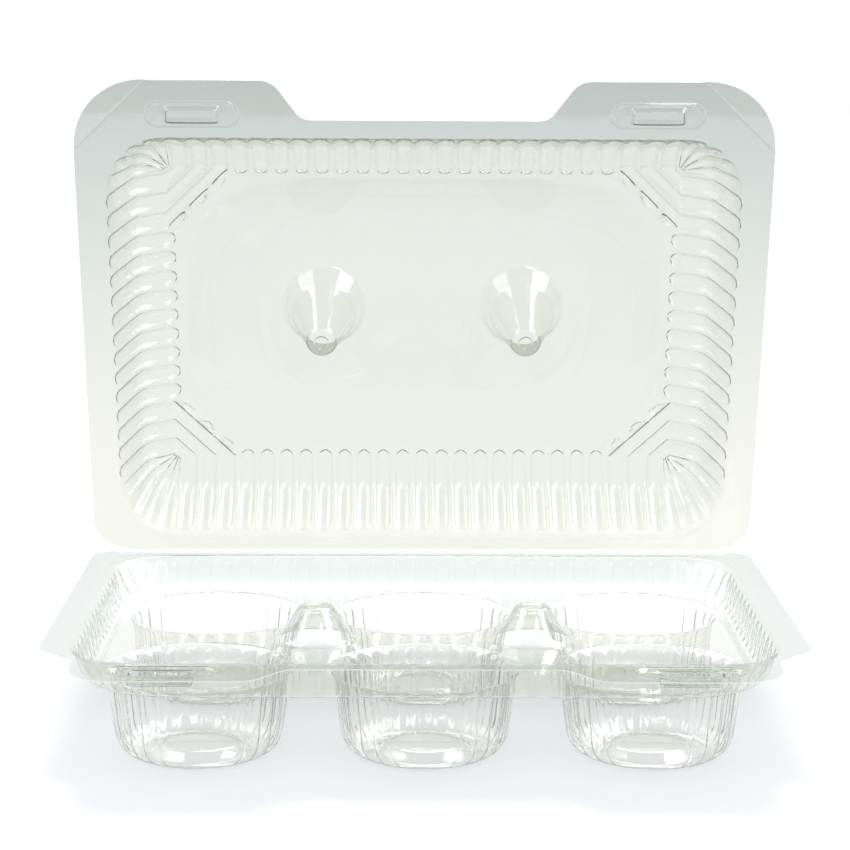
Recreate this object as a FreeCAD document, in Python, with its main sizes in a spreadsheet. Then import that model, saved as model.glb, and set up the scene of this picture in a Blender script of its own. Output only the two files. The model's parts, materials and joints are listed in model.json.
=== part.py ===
import FreeCAD, Part
import math
import os

# Clear plastic clamshell pack for six large muffins: one formed sheet, folded at a hinge into
# a tray with six fluted cups and a domed lid. Millimetres. While a form is being worked out,
# x runs along the hinge, "reach" is the distance forward from the hinge line, and z is up.

os.makedirs("parts", exist_ok=True)
doc = FreeCAD.newDocument("ClamshellPack")
sheet = doc.addObject("Spreadsheet::Sheet", "dims")

DIMENSIONS = [
    ("sheet_wall", 0.5, "thickness of the formed sheet"),
    ("closing_gap", 0.3, "space between the two flanges when the lid is shut"),
    ("lid_opening_angle", 75.2, "how far the lid stands open at rest"),
    ("pack_width", 330, "flange width along the hinge"),
    ("tab_reach", 245, "hinge line to the front edge of the corner tabs"),
    ("middle_reach", 226, "hinge line to the front edge between the tabs"),
    ("tab_inner_end", 77, "half distance between the two tabs at their front edge"),
    ("middle_half_width", 54, "half width of the straight edge between the tabs"),
    ("tab_curve_radius", 11, "outer curve of the tab's inner end"),
    ("middle_curve_radius", 9, "inner curve where the tab meets the middle edge"),
    ("hinge_bead_radius", 0.85, "raised bead along the fold"),
    ("hinge_bead_length", 310, "length of that bead"),
    ("hinge_clearance", 0.3, "bead to the lid's edge"),
    ("tray_back_corner", 12, "corner radius of the tray flange at the hinge"),
    ("tray_side_reach", 193, "hinge line to the end of the tray's straight side edge"),
    ("tray_notch_reach", 211, "hinge line to the foot of the cut corner"),
    ("tray_notch_half_width", 148.4, "half width of the tray flange at that foot"),
    ("tray_tab_half_width", 146.5, "half width of the tray flange across the tabs"),
    ("tray_tab_corner", 21, "outer corner radius of the tray tabs"),
    ("lid_back_corner", 17, "corner radius of the lid flange at the hinge"),
    ("lid_front_corner", 33, "corner radius of the lid flange at the front"),
    ("opening_width", 302.4, "width of the tray and dome mouths"),
    ("opening_length", 206, "front to back size of those mouths"),
    ("opening_back_reach", 10.6, "hinge line to the back of those mouths"),
    ("opening_corner", 27, "corner radius of those mouths"),
    ("long_side_flutes", 25, "flutes along each long side"),
    ("short_side_flutes", 15, "flutes along each short side"),
    ("corner_flutes", 4, "flutes round each corner"),
    ("wall_flute_depth", 2.2, "how far a wall flute stands out"),
    ("flute_top_depth", 3.2, "rim to the full depth of a flute"),
    ("flute_top_inset", 2.6, "inset of the wall there"),
    ("tray_foot_inset", 4.6, "inset of the tray wall just above the deck"),
    ("deck_bend", 2.0, "height of the bend from the tray wall to the deck"),
    ("deck_inset", 5.6, "inset of the deck's edge"),
    ("deck_corner", 38, "corner radius of the deck, which rounds off towards the corner cups"),
    ("deck_depth", 16, "rim to the deck"),
    ("cup_pitch", 99.4, "distance between neighbouring cup centres"),
    ("cup_mouth_radius", 41, "cup radius at the deck"),
    ("cup_neck_radius", 37.8, "cup radius between flutes just below the mouth"),
    ("cup_neck_depth", 3.6, "deck to that neck"),
    ("cup_foot_radius", 34.6, "cup radius between flutes above the bottom bend"),
    ("cup_bend_height", 6.5, "height of the bottom bend"),
    ("cup_ring_outer", 29, "outer radius of the flat ring a cup stands on"),
    ("cup_ring_inner", 22, "inner radius of that ring"),
    ("cup_kick_radius", 17, "radius of the raised middle of the bottom"),
    ("cup_kick_height", 4, "height of that raised middle"),
    ("cup_depth", 38, "deck to the underside of the cup"),
    ("cup_flutes", 28, "flutes round a cup"),
    ("cup_flute_depth", 1.6, "how far a cup flute stands out"),
    ("peak_top_radius", 6.7, "top of a hollow peak between the cups"),
    ("peak_foot_radius", 17.5, "foot of that peak"),
    ("peak_drop", 0.2, "tray rim to the top of the peak"),
    ("dome_foot_inset", 11.5, "inset of the dome wall where it meets the shoulder"),
    ("dome_foot_depth", 28, "rim to that foot"),
    ("shoulder_turn_inset", 25.5, "inset where the corner flutes turn across the corner"),
    ("shoulder_turn_depth", 35.2, "rim to that turn"),
    ("panel_inset", 28.5, "inset of the edge of the crowned panel"),
    ("panel_edge_depth", 36.8, "rim to the edge of the crowned panel"),
    ("crown_depth", 50.5, "rim to the flat middle of the panel"),
    ("post_tip_radius", 6.8, "tip of a hollow post inside the lid"),
    ("post_neck_radius", 16.6, "post radius where its flare starts"),
    ("post_flare_radius", 20.6, "flare of the post at the panel"),
    ("post_flare_height", 10.5, "height of that flare"),
    ("latch_centre_half", 109, "half distance between the two latches"),
    ("latch_reach", 229, "hinge line to the middle of a latch"),
    ("latch_pad_length", 44, "long round-ended pad round a latch button"),
    ("latch_pad_width", 12.5, "width of that pad"),
    ("latch_pad_depth", 1, "depth of that pad"),
    ("button_length", 26, "latch button at its foot"),
    ("button_width", 9, "width of the button at its foot"),
    ("button_height", 5, "height of the button over the lid flange"),
    ("button_draft", 18, "slope of the button's sides"),
    ("latch_clearance", 0.6, "space round the button and the pad in the tray's pocket"),
    ("crease_side_reach", 210, "hinge line to the finger lift's crease on the side edge"),
    ("crease_front_half", 129, "half distance between the creases on the front edge"),
    ("finger_lift_height", 1.2, "how far the lid's front corners stand up"),
    ("crease_width", 2, "width of the sloped crease"),
]
for row, (alias, value, note) in enumerate(DIMENSIONS, start=1):
    sheet.set("A%d" % row, alias)
    sheet.set("B%d" % row, str(value))
    sheet.set("C%d" % row, note)
    sheet.setAlias("B%d" % row, alias)
doc.recompute()


def size(alias):
    """A driving dimension read from the sheet."""
    return float(sheet.get(alias))


def bind(target, **formulas):
    """Tie properties of an object to formulas over the sheet; a double underscore stands for a dot."""
    for name, formula in formulas.items():
        target.setExpression(name.replace("__", "."), formula)


def primitive(kind, name, **formulas):
    """A document object whose sizes and place follow the sheet."""
    made = doc.addObject("Part::" + kind, name)
    bind(made, **formulas)
    return made


def feature(name, shape):
    """A document object that holds a shape worked out here from the sheet."""
    made = doc.addObject("Part::Feature", name)
    made.Shape = shape
    return made


def fused(name, parts):
    made = doc.addObject("Part::MultiFuse", name)
    made.Shapes = parts
    return made


def cut(name, base, tool):
    made = doc.addObject("Part::Cut", name)
    made.Base = base
    made.Tool = tool
    return made


def extruded(name, base, length, downward=False, draft=None):
    """A face pushed along z, with sloped sides where a draft angle is given."""
    made = doc.addObject("Part::Extrusion", name)
    made.Base = base
    made.DirMode = "Custom"
    made.Dir = FreeCAD.Vector(0, 0, -1 if downward else 1)
    made.Solid = True
    bind(made, LengthFwd=length)
    if draft:
        bind(made, TaperAngle=draft)
    return made


# Forms of flat facets

def place(point):
    """(x, reach, z) as a vector: the pack lies forward of the hinge, towards -Y."""
    return FreeCAD.Vector(point[0], -point[1], point[2])


def wire(points):
    corners = [place(p) for p in points]
    return Part.makePolygon(corners + corners[:1])


def facets(points):
    """One flat face where the points allow it, two triangles where they don't."""
    corners = [place(p) for p in points]
    if len(corners) == 4:
        a, b, c = (corner - corners[0] for corner in corners[1:])
        if abs(a.cross(b).dot(c)) > 1e-7 * max(1, a.Length * b.Length * c.Length):
            return facets(points[:3]) + facets([points[0], points[2], points[3]])
    return [Part.Face(wire(points))]


def band(lower, upper):
    """Facets between two closed rows with the same number of points."""
    faces = []
    for i in range(len(lower)):
        k = (i + 1) % len(lower)
        faces += facets([lower[i], lower[k], upper[k], upper[i]])
    return faces


def holed(outline, holes):
    """A flat face inside an outline, with holes in it."""
    return Part.makeFace([outline] + holes, "Part::FaceMakerBullseye")


def solid_of(faces):
    solid = Part.makeSolid(Part.makeShell(faces))
    if solid.Volume < 0:
        solid.reverse()
    return solid


# The mouth's outline as stations: a point on it, the way out, and whether it is a ridge or a channel

FLUTE_STEPS = ((0, 0), (0.5, 1))
half_width = size("opening_width") / 2
half_length = size("opening_length") / 2
corner = size("opening_corner")
straight_x = half_width - corner
straight_y = half_length - corner
mouth_centre = size("opening_back_reach") + half_length


def side_stations(count, start, end, normal):
    """Stations of count flutes on a straight side that runs from start to end."""
    found = []
    for flute in range(count):
        for share, channel in FLUTE_STEPS:
            t = (flute + share) / count
            spot = [start[i] + t * (end[i] - start[i]) for i in (0, 1)]
            found.append((spot, normal, channel))
    return found


def corner_stations(count, centre, first_angle):
    """Stations of count flutes round a quarter circle."""
    found = []
    for flute in range(count):
        for share, channel in FLUTE_STEPS:
            angle = math.radians(first_angle + 90 * (flute + share) / count)
            normal = (math.cos(angle), math.sin(angle))
            spot = [centre[i] + corner * normal[i] for i in (0, 1)]
            found.append((spot, normal, channel))
    return found


def mouth_stations():
    """All stations round the mouth, from the right end of its front side."""
    long_count = int(size("long_side_flutes"))
    short_count = int(size("short_side_flutes"))
    corner_count = int(size("corner_flutes"))
    x, y = straight_x, straight_y
    stations = side_stations(short_count, (half_width, -y), (half_width, y), (1, 0))
    stations += corner_stations(corner_count, (x, y), 0)
    stations += side_stations(long_count, (x, half_length), (-x, half_length), (0, 1))
    stations += corner_stations(corner_count, (-x, y), 90)
    stations += side_stations(short_count, (-half_width, y), (-half_width, -y), (-1, 0))
    stations += corner_stations(corner_count, (-x, -y), 180)
    stations += side_stations(long_count, (-x, -half_length), (x, -half_length), (0, -1))
    stations += corner_stations(corner_count, (x, -y), 270)
    return stations


def station_point(station, inset, level, lean, rise, flute, skin):
    """A station moved in by inset; channels and the outer skin move along the wall's way out.

    lean and rise are the horizontal and the vertical share of that way out.
    """
    spot, normal, channel = station
    outward = skin + flute * channel
    move = -inset + lean * outward
    return (spot[0] + move * normal[0], mouth_centre + spot[1] + move * normal[1],
            level + rise * outward)


def corner_inset(station, inset, radius):
    """How far a station moves in to reach an outline with corners of its own radius."""
    spot, normal, _ = station
    across = [abs(normal[0]), abs(normal[1])]
    past = [abs(spot[0]) - (half_width - inset - radius),
            abs(spot[1]) - (half_length - inset - radius)]
    if min(past[i] - inset * across[i] for i in (0, 1)) <= 0:
        return inset
    along = past[0] * across[0] + past[1] * across[1]
    return along - math.sqrt(along ** 2 - past[0] ** 2 - past[1] ** 2 + radius ** 2)


def mouth_row(stations, inset, level, lean=1, rise=0, flute=0, skin=0, radius=None):
    """Points of all stations at one level; a radius rounds the row's corners off by itself."""
    return [station_point(s, corner_inset(s, inset, radius) if radius else inset, level,
                          lean, rise, flute, skin) for s in stations]


stations = mouth_stations()
flute_depth = size("wall_flute_depth")
wall = size("sheet_wall")
tray_face = -size("closing_gap") / 2
lid_face = size("closing_gap") / 2
deck_level = tray_face - size("deck_depth")


# Tray: the fluted trough, the deck and the six cups

def cup_ring(centre, radius, level, flute=0, skin=0, skin_rise=0):
    """Points round a cup, two for each flute: its ridge and the middle of its channel."""
    count = 2 * int(size("cup_flutes"))
    ring = []
    for i in range(count):
        angle = 2 * math.pi * i / count
        reach = radius + skin + flute * (i % 2)
        ring.append((centre[0] + reach * math.cos(angle), centre[1] + reach * math.sin(angle),
                     level - skin_rise))
    return ring


def cup_faces(centre, skin):
    """Walls and bottom of one cup, and the ring where it meets the deck."""
    flute = size("cup_flute_depth")
    bottom = deck_level - size("cup_depth") + wall
    neck = deck_level - size("cup_neck_depth")
    kick = bottom + size("cup_kick_height")
    rings = [
        cup_ring(centre, size("cup_mouth_radius"), deck_level, 0, skin, skin),
        cup_ring(centre, size("cup_neck_radius"), neck, flute, skin, 0),
        cup_ring(centre, size("cup_foot_radius"), bottom + size("cup_bend_height"), flute, skin, 0),
        cup_ring(centre, size("cup_ring_outer"), bottom, 0, skin / 2, skin),
        cup_ring(centre, size("cup_ring_inner"), bottom, 0, 0, skin),
        cup_ring(centre, size("cup_kick_radius"), kick, 0, 0, skin),
    ]
    standing_ring = 3
    faces = []
    for k, (above, below) in enumerate(zip(rings, rings[1:])):
        faces += [holed(wire(above), [wire(below)])] if k == standing_ring else band(above, below)
    return faces + [Part.Face(wire(rings[-1]))], rings[0]


def cup_centres():
    pitch = size("cup_pitch")
    return [(column * pitch, mouth_centre + row * pitch / 2)
            for row in (-1, 1) for column in (-1, 0, 1)]


def trough_faces(skin):
    """One skin of the trough, deck and cups, and its upper row on the flange's face."""
    bend = deck_level + size("deck_bend")

    def radius(depth):
        return corner + (size("deck_corner") - corner) * depth / size("deck_depth")

    rows = [
        mouth_row(stations, 0, tray_face - skin, skin=skin),
        mouth_row(stations, size("flute_top_inset"), tray_face - size("flute_top_depth"),
                  flute=flute_depth, skin=skin, radius=radius(size("flute_top_depth"))),
        mouth_row(stations, size("tray_foot_inset"), bend, flute=flute_depth, skin=skin,
                  radius=radius(size("deck_depth") - size("deck_bend"))),
        mouth_row(stations, size("deck_inset"), deck_level - skin, skin=skin,
                  radius=size("deck_corner")),
    ]
    faces = []
    for upper, lower in zip(rows[:-1], rows[1:]):
        faces += band(upper, lower)
    mouths = []
    for centre in cup_centres():
        walls, ring = cup_faces(centre, skin)
        faces += walls
        mouths.append(wire(ring))
    faces.append(holed(wire(rows[-1]), mouths))
    return faces, rows[0]


# Lid: the fluted dome with its shoulder, corner chevrons and crowned panel

SHOULDER_LEAN = 0.45
SHOULDER_RISE = 0.89
BEND_LEAN = 0.75
BEND_RISE = 0.66
CHEVRONS = 3
CROWN_STEPS = ((0.9, 0.45), (0.78, 0.8), (0.64, 1))


def shrunk(corners, share, level):
    """A ring like the given corners, shrunk towards the middle of the mouth."""
    return [(p[0] * share, mouth_centre + (p[1] - mouth_centre) * share, level) for p in corners]


def crown_faces(sides, edge_level, rise_height):
    """The crowned panel inside its eight-cornered edge, given as runs of points on each side."""
    corners = [run[i] for run in sides for i in (0, -1)]
    first = shrunk(corners, CROWN_STEPS[0][0], edge_level + CROWN_STEPS[0][1] * rise_height)
    faces = []
    for k, run in enumerate(sides):
        faces.append(Part.Face(wire(run + [first[2 * k + 1], first[2 * k]])))
        after = (2 * k + 2) % len(corners)
        faces += facets([run[-1], corners[after], first[after], first[2 * k + 1]])
    ring = first
    for share, rise in CROWN_STEPS[1:]:
        inner = shrunk(corners, share, edge_level + rise * rise_height)
        faces += band(ring, inner)
        ring = inner
    return faces + [Part.Face(wire(ring))]


def chevron_faces(foot, turn, near, far, near_apex, far_apex):
    """Flutes that leave one side, turn across the corner and join the next side's flutes."""
    near_turn = [near_apex] + [turn[i] for i in near[1:]]
    far_turn = [far_apex] + [turn[i] for i in far[1:]]
    faces = []
    for k in range(len(near) - 1):
        faces += facets([foot[near[k]], foot[near[k + 1]], near_turn[k + 1], near_turn[k]])
        faces += facets([near_turn[k], near_turn[k + 1], far_turn[k + 1], far_turn[k]])
        faces += facets([far_turn[k], far_turn[k + 1], foot[far[k + 1]], foot[far[k]]])
    return faces


def shoulder_faces(foot, turn, edge, skin, apex_level):
    """The shoulder ring round the panel: straight flutes, chevrons and corner fans.

    Also gives the points of the panel's edge on each side.
    """
    steps = len(FLUTE_STEPS)
    total = len(stations)
    short, long = int(size("short_side_flutes")), int(size("long_side_flutes"))
    fan = int(size("corner_flutes")) * steps
    apex_inset = (size("dome_foot_inset") + size("shoulder_turn_inset")) / 2
    faces = []
    sides = []
    start = 0
    for count in (short, long, short, long):
        first = start + CHEVRONS * steps
        last = start + (count - CHEVRONS) * steps
        for i in range(first, last):
            faces += facets([foot[i], foot[i + 1], turn[i + 1], turn[i]])
            faces += facets([turn[i], turn[i + 1], edge[i + 1], edge[i]])
        sides.append(edge[first:last + 1])

        side_end = start + count * steps
        next_start = (side_end + fan) % total
        near = [side_end - k for k in range(CHEVRONS * steps + 1)]
        far = [next_start + k for k in range(CHEVRONS * steps + 1)]
        near_apex, far_apex = (station_point(stations[i], apex_inset, apex_level, SHOULDER_LEAN,
                                             SHOULDER_RISE, 0, skin) for i in (side_end, next_start))
        faces += chevron_faces(foot, turn, near, far, near_apex, far_apex)
        faces += facets([turn[near[-1]], edge[near[-1]], edge[far[-1]], turn[far[-1]]])
        middle = side_end + fan // 2
        for i in range(side_end, side_end + fan):
            apex = near_apex if i < middle else far_apex
            faces += facets([foot[i], foot[(i + 1) % total], apex])
        faces += facets([foot[middle], near_apex, far_apex])
        start = side_end + fan
    return faces, sides


def dome_faces(skin):
    """One skin of the dome, and its lower row on the flange's face."""
    foot_level = lid_face + size("dome_foot_depth")
    turn_level = lid_face + size("shoulder_turn_depth")
    edge_level = lid_face + size("panel_edge_depth") + skin
    rows = [
        mouth_row(stations, 0, lid_face + skin, skin=skin),
        mouth_row(stations, size("flute_top_inset"), lid_face + size("flute_top_depth"),
                  flute=flute_depth, skin=skin),
        mouth_row(stations, size("dome_foot_inset"), foot_level, BEND_LEAN, BEND_RISE,
                  flute_depth, skin),
    ]
    faces = []
    for lower, upper in zip(rows[:-1], rows[1:]):
        faces += band(lower, upper)
    turn = mouth_row(stations, size("shoulder_turn_inset"), turn_level, SHOULDER_LEAN,
                     SHOULDER_RISE, flute_depth, skin)
    edge = mouth_row(stations, size("panel_inset"), edge_level, SHOULDER_LEAN, 0, 0, skin)
    shoulder, sides = shoulder_faces(rows[-1], turn, edge, skin, (foot_level + turn_level) / 2)
    faces += shoulder
    faces += crown_faces(sides, edge_level, size("crown_depth") - size("panel_edge_depth"))
    return faces, rows[0]


# Flange outlines: straight edges with the corners between them rounded

def rounded_outline(corners):
    """A closed wire from (x, reach, radius) corners, each cut by an arc of its radius."""
    spots = [FreeCAD.Vector(x, -reach, 0) for x, reach, radius in corners]
    edges = []
    ends = []
    for i, (x, reach, radius) in enumerate(corners):
        here = spots[i]
        before = (spots[i - 1] - here).normalize()
        after = (spots[(i + 1) % len(spots)] - here).normalize()
        half = before.getAngle(after) / 2
        back = radius / math.tan(half)
        first, last = here + before * back, here + after * back
        if radius:
            middle = (before + after).normalize() * (radius / math.sin(half) - radius)
            edges.append(Part.Arc(first, here + middle, last).toShape())
        ends.append((first, last))
    lines = [Part.makeLine(ends[i - 1][1], ends[i][0]) for i in range(len(ends))]
    return Part.Wire(Part.__sortEdges__(edges + lines))


def mirrored(half):
    """The whole outline from its right half, listed from the hinge to the front."""
    return half + [(-x, reach, radius) for x, reach, radius in reversed(half)]


def tab_end():
    """The curved inner end of the right tab, down to the edge between the tabs."""
    return [(size("tab_inner_end") - 5, size("tab_reach"), size("tab_curve_radius")),
            (size("middle_half_width") + 4, size("middle_reach"), size("middle_curve_radius"))]


def tray_outline():
    half = size("pack_width") / 2
    return rounded_outline(mirrored([
        (half, size("hinge_bead_radius") / 2, size("tray_back_corner")),
        (half, size("tray_side_reach"), 8),
        (size("tray_notch_half_width"), size("tray_notch_reach"), 2),
        (size("tray_tab_half_width"), size("tab_reach"), size("tray_tab_corner")),
    ] + tab_end()))


def lid_outline(front_corners):
    half = size("pack_width") / 2
    back = size("hinge_bead_radius") + size("hinge_clearance")
    return rounded_outline(mirrored([(half, back, size("lid_back_corner"))] + front_corners
                                    + tab_end()))


def whole_lid_outline():
    return lid_outline([(size("pack_width") / 2, size("tab_reach"), size("lid_front_corner"))])


def creased_lid_outline():
    """The lid flange without its finger lifts: cut off along their creases."""
    return lid_outline([(size("pack_width") / 2, size("crease_side_reach"), 0),
                        (size("crease_front_half"), size("tab_reach"), 0)])


def formed_sheet(outline, face_level, side, skins):
    """A flange with the formed sheet in it: side is 1 where it rises over the flange face."""
    faces = []
    base = outline.copy()
    base.translate(FreeCAD.Vector(0, 0, face_level))
    far = base.copy()
    far.translate(FreeCAD.Vector(0, 0, side * wall))
    for rim, (skin_faces, mouth) in zip((base, far), skins):
        faces += skin_faces
        faces.append(holed(rim, [wire(mouth)]))
    faces += base.extrude(FreeCAD.Vector(0, 0, side * wall)).Faces
    return solid_of(faces)


def round_ended(length, width):
    """A flat round-ended shape along x, centred."""
    half, radius = length / 2 - width / 2, width / 2
    top = Part.makeLine(FreeCAD.Vector(-half, radius, 0), FreeCAD.Vector(half, radius, 0))
    bottom = Part.makeLine(FreeCAD.Vector(half, -radius, 0), FreeCAD.Vector(-half, -radius, 0))
    right = Part.Arc(FreeCAD.Vector(half, radius, 0), FreeCAD.Vector(half + radius, 0, 0),
                     FreeCAD.Vector(half, -radius, 0)).toShape()
    left = Part.Arc(FreeCAD.Vector(-half, -radius, 0), FreeCAD.Vector(-half - radius, 0, 0),
                    FreeCAD.Vector(-half, radius, 0)).toShape()
    return Part.Face(Part.Wire(Part.__sortEdges__([top, bottom, right, left])))


SIDES = (("left", "-"), ("right", ""))


def latch_forms(owner, growth, growth_formula, face_formula, depth_formula):
    """Pad and button of both latches, pushed down from a flange's upper face.

    growth is how much larger than the lid's pad and button they are on every side.
    """
    forms = []
    for side, sign in SIDES:
        name = "%s_%s_" % (owner, side)
        place_x = sign + "dims.latch_centre_half"
        pad = feature(name + "pad_outline", round_ended(size("latch_pad_length") + 2 * growth,
                                                        size("latch_pad_width") + 2 * growth))
        bind(pad, Placement__Base__x=place_x, Placement__Base__y="-dims.latch_reach",
             Placement__Base__z=face_formula)
        forms.append(extruded(name + "pad", pad, "dims.latch_pad_depth + " + depth_formula, True))
        length = "(dims.button_length + 2 * (%s))" % growth_formula
        width = "(dims.button_width + 2 * (%s))" % growth_formula
        outline = primitive(
            "Plane", name + "button_outline", Length=length, Width=width,
            Placement__Base__x="%s - %s / 2" % (place_x, length),
            Placement__Base__y="-dims.latch_reach - %s / 2" % width,
            Placement__Base__z=face_formula)
        forms.append(extruded(name + "button", outline, "dims.button_height + " + depth_formula,
                              True, "-dims.button_draft"))
    return forms


def cone(name, low_radius, high_radius, height, base, side_sign):
    """A cone between two cup columns; all its sizes are formulas."""
    made = primitive("Cone", name, Radius1=low_radius, Radius2=high_radius, Height=height)
    bind(made, Placement__Base__x=side_sign + "dims.cup_pitch / 2",
         Placement__Base__y="-(dims.opening_back_reach + dims.opening_length / 2)",
         Placement__Base__z=base)
    return made


def peaks(kind, shrink):
    """The two hollow peaks of the deck, or the spaces under them, which lie a wall lower."""
    deck = "-dims.closing_gap / 2 - dims.deck_depth - dims.sheet_wall"
    return [cone("%s_%s" % (side, kind),
                 "dims.peak_foot_radius + dims.sheet_wall - (%s)" % shrink,
                 "dims.peak_top_radius - (%s)" % shrink,
                 "dims.deck_depth + dims.sheet_wall - dims.peak_drop",
                 "%s - (%s)" % (deck, shrink), sign) for side, sign in SIDES]


def posts(kind, shrink):
    """The lid's two hollow posts with their flares, or the spaces in them, a wall higher."""
    made = []
    for side, sign in SIDES:
        tip = "dims.closing_gap / 2 + (%s)" % shrink
        made.append(cone("%s_%s" % (side, kind), "dims.post_tip_radius - (%s)" % shrink,
                         "dims.post_neck_radius - (%s)" % shrink,
                         "dims.crown_depth - dims.post_flare_height", tip, sign))
        made.append(cone("%s_%s_flare" % (side, kind), "dims.post_neck_radius - (%s)" % shrink,
                         "dims.post_flare_radius - (%s)" % shrink, "dims.post_flare_height",
                         tip + " + dims.crown_depth - dims.post_flare_height", sign))
        made.append(primitive("Cylinder", "%s_%s_mouth" % (side, kind),
                              Radius="dims.post_flare_radius - (%s)" % shrink,
                              Height="dims.sheet_wall * 2",
                              Placement__Base__x=sign + "dims.cup_pitch / 2",
                              Placement__Base__y="-(dims.opening_back_reach"
                                                 " + dims.opening_length / 2)",
                              Placement__Base__z=tip + " + dims.crown_depth"))
    return made


# The tray: flange with the formed trough and cups, hinge bead, peaks and latch pockets

tray_sheet = feature("tray_sheet", formed_sheet(tray_outline(), tray_face, -1,
                                                [trough_faces(0), trough_faces(wall)]))
bead = primitive("Cylinder", "hinge_bead", Radius="dims.hinge_bead_radius",
                 Height="dims.hinge_bead_length")
bead.Placement.Rotation = FreeCAD.Rotation(FreeCAD.Vector(0, 1, 0), 90)
bind(bead, Placement__Base__x="-dims.hinge_bead_length / 2")

clearance = size("latch_clearance")
pocket_walls = latch_forms("pocket_wall", clearance + wall, "dims.latch_clearance + dims.sheet_wall",
                           "-dims.closing_gap / 2", "dims.latch_clearance + dims.sheet_wall")
pockets = latch_forms("pocket", clearance, "dims.latch_clearance",
                      "-dims.closing_gap / 2", "dims.latch_clearance")
tray_body = fused("tray_body", [tray_sheet, bead] + peaks("peak", "0") + pocket_walls)
tray_hollow = fused("tray_hollow", peaks("under_peak", "dims.sheet_wall") + pockets)
base_tray = cut("base_tray", tray_body, tray_hollow)


# The lid, built shut over the tray: flange and dome, finger lifts, posts and latch buttons

def finger_lift(sign):
    """The lid's front corner, which stands up beyond a sloped crease."""
    side = FreeCAD.Vector(sign * size("pack_width") / 2, -size("crease_side_reach"), lid_face)
    front = FreeCAD.Vector(sign * size("crease_front_half"), -size("tab_reach"), lid_face)
    along = front - side
    out = FreeCAD.Vector(sign * abs(along.y), -abs(along.x), 0) * (1 / along.Length)
    up = FreeCAD.Vector(0, 0, 1)
    rise, width, reach = size("finger_lift_height"), size("crease_width"), along.Length
    section = [(0, 0), (0, wall), (width, rise + wall), (reach, rise + wall), (reach, rise),
               (width, rise)]
    corners = [side - along + out * x + up * z for x, z in section]
    strip = Part.Face(Part.makePolygon(corners + corners[:1])).extrude(along * 3)
    flange = Part.Face(whole_lid_outline()).extrude(up * (lid_face + 2 * wall + rise))
    return strip.common(flange)


lid_sheet = feature("lid_sheet", formed_sheet(creased_lid_outline(), lid_face, 1,
                                              [dome_faces(0), dome_faces(wall)]))
lifts = [feature(name + "_finger_lift", finger_lift(sign))
         for name, sign in (("left", -1), ("right", 1))]
lid_top = "dims.closing_gap / 2 + dims.sheet_wall"
buttons = latch_forms("button", 0, "0", lid_top, "dims.sheet_wall")
button_spaces = latch_forms("button_space", -wall, "-dims.sheet_wall", lid_top, "0")
lid_body = fused("lid_body", [lid_sheet] + lifts + posts("post", "0") + buttons)
lid_hollow = fused("lid_hollow", posts("post_space", "dims.sheet_wall") + button_spaces)
lid = cut("lid", lid_body, lid_hollow)


# Both parts stand on the cups, the lid swung open about the hinge, centred over the ground

lid.Placement.Rotation = FreeCAD.Rotation(FreeCAD.Vector(1, 0, 0), -size("lid_opening_angle"))
bind(lid, Placement__Rotation__Angle="-dims.lid_opening_angle")
for part in (base_tray, lid):
    bind(part, Placement__Base__z="dims.deck_depth + dims.cup_depth + dims.closing_gap / 2")
doc.recompute()

for item in doc.Objects:
    if "Invalid" in item.State or "Error" in item.State:
        raise RuntimeError("%s did not build: %s" % (item.Name, item.State))
for part in (base_tray, lid):
    if part.Shape.isNull() or not part.Shape.isValid():
        raise RuntimeError("%s is not a valid solid" % part.Label)

whole = base_tray.Shape.BoundBox.united(lid.Shape.BoundBox)
for part in (base_tray, lid):
    part.Placement.Base.y = -whole.Center.y
for part in (base_tray, lid):
    part.Shape.exportStep("parts/%s.step" % part.Label)
    box = part.Shape.BoundBox
    print(part.Label, len(part.Shape.Solids), "solids", len(part.Shape.Faces), "faces",
          round(part.Shape.Volume), "mm3", [round(v, 2) for v in (
              box.XMin, box.XMax, box.YMin, box.YMax, box.ZMin, box.ZMax)])
print("hinge line at y", round(base_tray.Placement.Base.y, 3), "z",
      round(base_tray.Placement.Base.z, 3))
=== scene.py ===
import json
import math

import bmesh
import bpy
import numpy as np
from mathutils import Matrix, Vector
from mathutils.geometry import delaunay_2d_cdt


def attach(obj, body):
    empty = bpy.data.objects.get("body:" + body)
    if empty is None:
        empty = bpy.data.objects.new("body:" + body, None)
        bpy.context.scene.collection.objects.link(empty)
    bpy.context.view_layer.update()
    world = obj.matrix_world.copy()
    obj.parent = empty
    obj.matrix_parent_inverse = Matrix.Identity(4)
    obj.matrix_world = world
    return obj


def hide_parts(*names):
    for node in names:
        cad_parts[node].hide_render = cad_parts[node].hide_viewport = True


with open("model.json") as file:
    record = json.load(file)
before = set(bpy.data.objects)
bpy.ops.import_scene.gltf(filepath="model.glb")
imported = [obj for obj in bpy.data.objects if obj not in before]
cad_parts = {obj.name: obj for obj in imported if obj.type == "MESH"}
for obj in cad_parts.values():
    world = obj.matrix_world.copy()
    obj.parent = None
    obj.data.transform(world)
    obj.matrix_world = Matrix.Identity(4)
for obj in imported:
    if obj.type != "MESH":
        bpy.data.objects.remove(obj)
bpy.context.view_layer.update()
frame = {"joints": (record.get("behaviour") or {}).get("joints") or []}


# ---- The tray ------------------------------------------------------------------------------
# The lower half of the pack: a flange with two tabs, a shallow fluted trough, six fluted cups and
# two hollow peaks, formed from one clear PET sheet that is thinner where it is drawn deeper. Its
# back edge is folded to the lid. Sizes are in mm.

SHEET_WALL = 0.38
SLANT_SHADE_BLEND = 0.3
HAZE_SCALE, HAZE_DETAIL, HAZE_SPREAD = 45, 3, 2.2
SHADE_PASSED = (0.8, 0.808, 0.822)


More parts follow.
